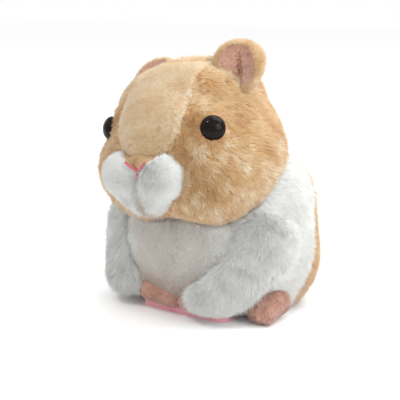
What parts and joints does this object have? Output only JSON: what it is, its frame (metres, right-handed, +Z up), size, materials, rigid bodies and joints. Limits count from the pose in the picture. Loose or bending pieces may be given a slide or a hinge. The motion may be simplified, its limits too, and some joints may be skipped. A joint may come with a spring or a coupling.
{
  "type": "interactive plush pet",
  "caption": "Small sitting plush hamster toy with a nodding head, glossy eyes, a felt sole plate and a sound and motor module inside.",
  "frame": {"origin": "under the middle of the whole pet, on the plane that its sole rests on", "axes": "+Z up, the pet faces -Y, +X is the pet's left"},
  "size_m": [0.112, 0.115, 0.1417],
  "materials": {
    "pink_felt": "matte needled felt",
    "black_plastic": "fine grained",
    "grey_plastic": "moulded",
    "pink_plastic": "moulded",
    "screw_steel": "plated",
    "spring_steel": "nickel plated",
    "cell_jacket": "plain printed jacket",
    "gear_nylon": "natural moulding",
    "brass": "turned",
    "motor_steel": "drawn",
    "board_green": "solder mask",
    "fibre_filling": "loose polyester fibre",
    "white_plush": "long pile plush",
    "white_plush_short": "short pile plush",
    "tan_plush": "long pile plush",
    "tan_plush_short": "short brushed pile",
    "skin_velour": "short velour",
    "ear_velour": "short velour",
    "nose_thread": "embroidery thread",
    "eye_gloss": "polished"
  },
  "bodies": {
    "body": {"sole_felt": "pink_felt", "base_plate": "black_plastic", "battery_box": "black_plastic", "battery_1": "cell_jacket", "battery_2": "cell_jacket", "battery_3": "cell_jacket", "contact_plates": "spring_steel", "contact_springs": "spring_steel", "switch_housing": "black_plastic", "shell_front": "grey_plastic", "shell_rear": "grey_plastic", "shell_screws": "screw_steel", "case_left_plate": "grey_plastic", "case_right_plate": "grey_plastic", "case_posts": "grey_plastic", "pivot_pin": "screw_steel", "gear_pin_one": "screw_steel", "gear_pin_two": "screw_steel", "motor_can": "motor_steel", "speaker_frame": "black_plastic", "speaker_magnet": "motor_steel", "microphone": "motor_steel", "circuit_board": "board_green", "main_chip": "black_plastic", "board_spacers": "gear_nylon", "button_board": "board_green", "button_switch": "black_plastic", "body_stuffing": "fibre_filling", "body_cover": "white_plush", "back_panel": "tan_plush", "left_arm": "white_plush", "right_arm": "white_plush", "left_paw": "skin_velour", "right_paw": "skin_velour", "left_hind_foot": "skin_velour", "right_hind_foot": "skin_velour", "tail": "skin_velour"},
    "head": {"head_rocker": "gear_nylon", "skull_front": "grey_plastic", "skull_rear": "grey_plastic", "left_eye": "eye_gloss", "right_eye": "eye_gloss", "eye_washers": "gear_nylon", "head_stuffing": "fibre_filling", "head_cover": "tan_plush", "forehead_panel": "tan_plush_short", "muzzle": "white_plush_short", "nose_stitching": "nose_thread", "left_ear": "tan_plush_short", "right_ear": "tan_plush_short", "left_ear_lining": "ear_velour", "right_ear_lining": "ear_velour"},
    "gear_one": {"reduction_gear_one": "gear_nylon"},
    "gear_two": {"reduction_gear_two": "gear_nylon"},
    "motor_rotor": {"motor_pinion": "brass", "motor_shaft": "screw_steel"},
    "switch_slider": {"switch_knob": "black_plastic"},
    "button": {"tummy_button": "grey_plastic"},
    "battery_lid": {"battery_door": "pink_plastic", "door_screw": "screw_steel"}
  },
  "joints": [
    {"name": "head_nod", "type": "hinge", "parent": "body", "child": "head", "pos_m": [0, 0.0005, 0.07], "axis": [1, 0, 0], "range_deg": [-6, 8]},
    {"name": "gear_one_spin", "type": "hinge", "parent": "body", "child": "gear_one", "pos_m": [0, 0.0005, 0.045], "axis": [1, 0, 0], "range_deg": [-34, 26]},
    {"name": "gear_two_spin", "type": "hinge", "parent": "body", "child": "gear_two", "pos_m": [0, 0.01293, 0.03493], "axis": [1, 0, 0], "range_deg": [-75, 99]},
    {"name": "motor_spin", "type": "hinge", "parent": "body", "child": "motor_rotor", "pos_m": [0, 0.02492, 0.02433], "axis": [1, 0, 0], "range_deg": [-293, 221]},
    {"name": "power_switch", "type": "slide", "parent": "body", "child": "switch_slider", "axis": [0, 1, 0], "range_m": [0, 0.002]},
    {"name": "tummy_press", "type": "slide", "parent": "body", "child": "button", "axis": [0, 1, 0], "range_m": [0, 0.0012], "stiffness_N_per_m": 400},
    {"name": "battery_door_lift", "type": "slide", "parent": "body", "child": "battery_lid", "axis": [0, 0, -1], "range_m": [0, 0.012]}
  ],
  "couplings": [
    {"joint": "gear_one_spin", "follows": "head_nod", "ratio": -4},
    {"joint": "gear_two_spin", "follows": "head_nod", "ratio": 12},
    {"joint": "motor_spin", "follows": "head_nod", "ratio": -36}
  ]
}
